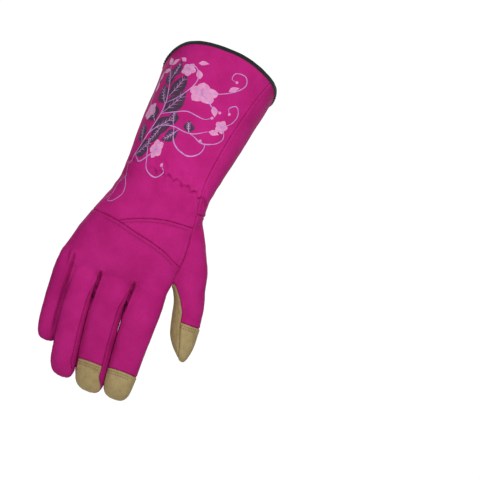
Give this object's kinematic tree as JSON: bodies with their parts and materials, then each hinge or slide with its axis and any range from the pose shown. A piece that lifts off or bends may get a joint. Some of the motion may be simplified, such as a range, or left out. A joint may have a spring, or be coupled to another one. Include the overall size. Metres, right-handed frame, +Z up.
{
  "type": "pruning gauntlet glove",
  "caption": "Right-hand rose pruning gauntlet with a suede palm, raised stitched pads, gathered wrist and a long flared softshell cuff",
  "frame": {"origin": "the middle of the wrist, where the arm holds the glove", "axes": "+Z up the arm out of the cuff, fingers down; +X towards the thumb side; -Y out of the back of the hand"},
  "size_m": [0.1513, 0.1221, 0.354],
  "materials": {
    "softshell": "matt knitted face",
    "suede": "napped",
    "binding": "matt tape"
  },
  "bodies": {
    "root": {"cuff_back": "softshell", "cuff_palm": "softshell", "back_wedge": "softshell", "hand_back": "softshell", "fourchette_little_ring": "softshell", "fourchette_ring_middle": "softshell", "fourchette_middle_index": "softshell", "thumb_back": "softshell", "palm_leather": "suede", "thumb_palm": "suede", "thumb_cap": "suede", "index_cap": "suede", "middle_cap": "suede", "pad_knuckles": "suede", "pad_palm": "suede", "pad_heel": "suede", "pad_thenar": "suede", "cuff_binding": "binding"}
  },
  "joints": []
}
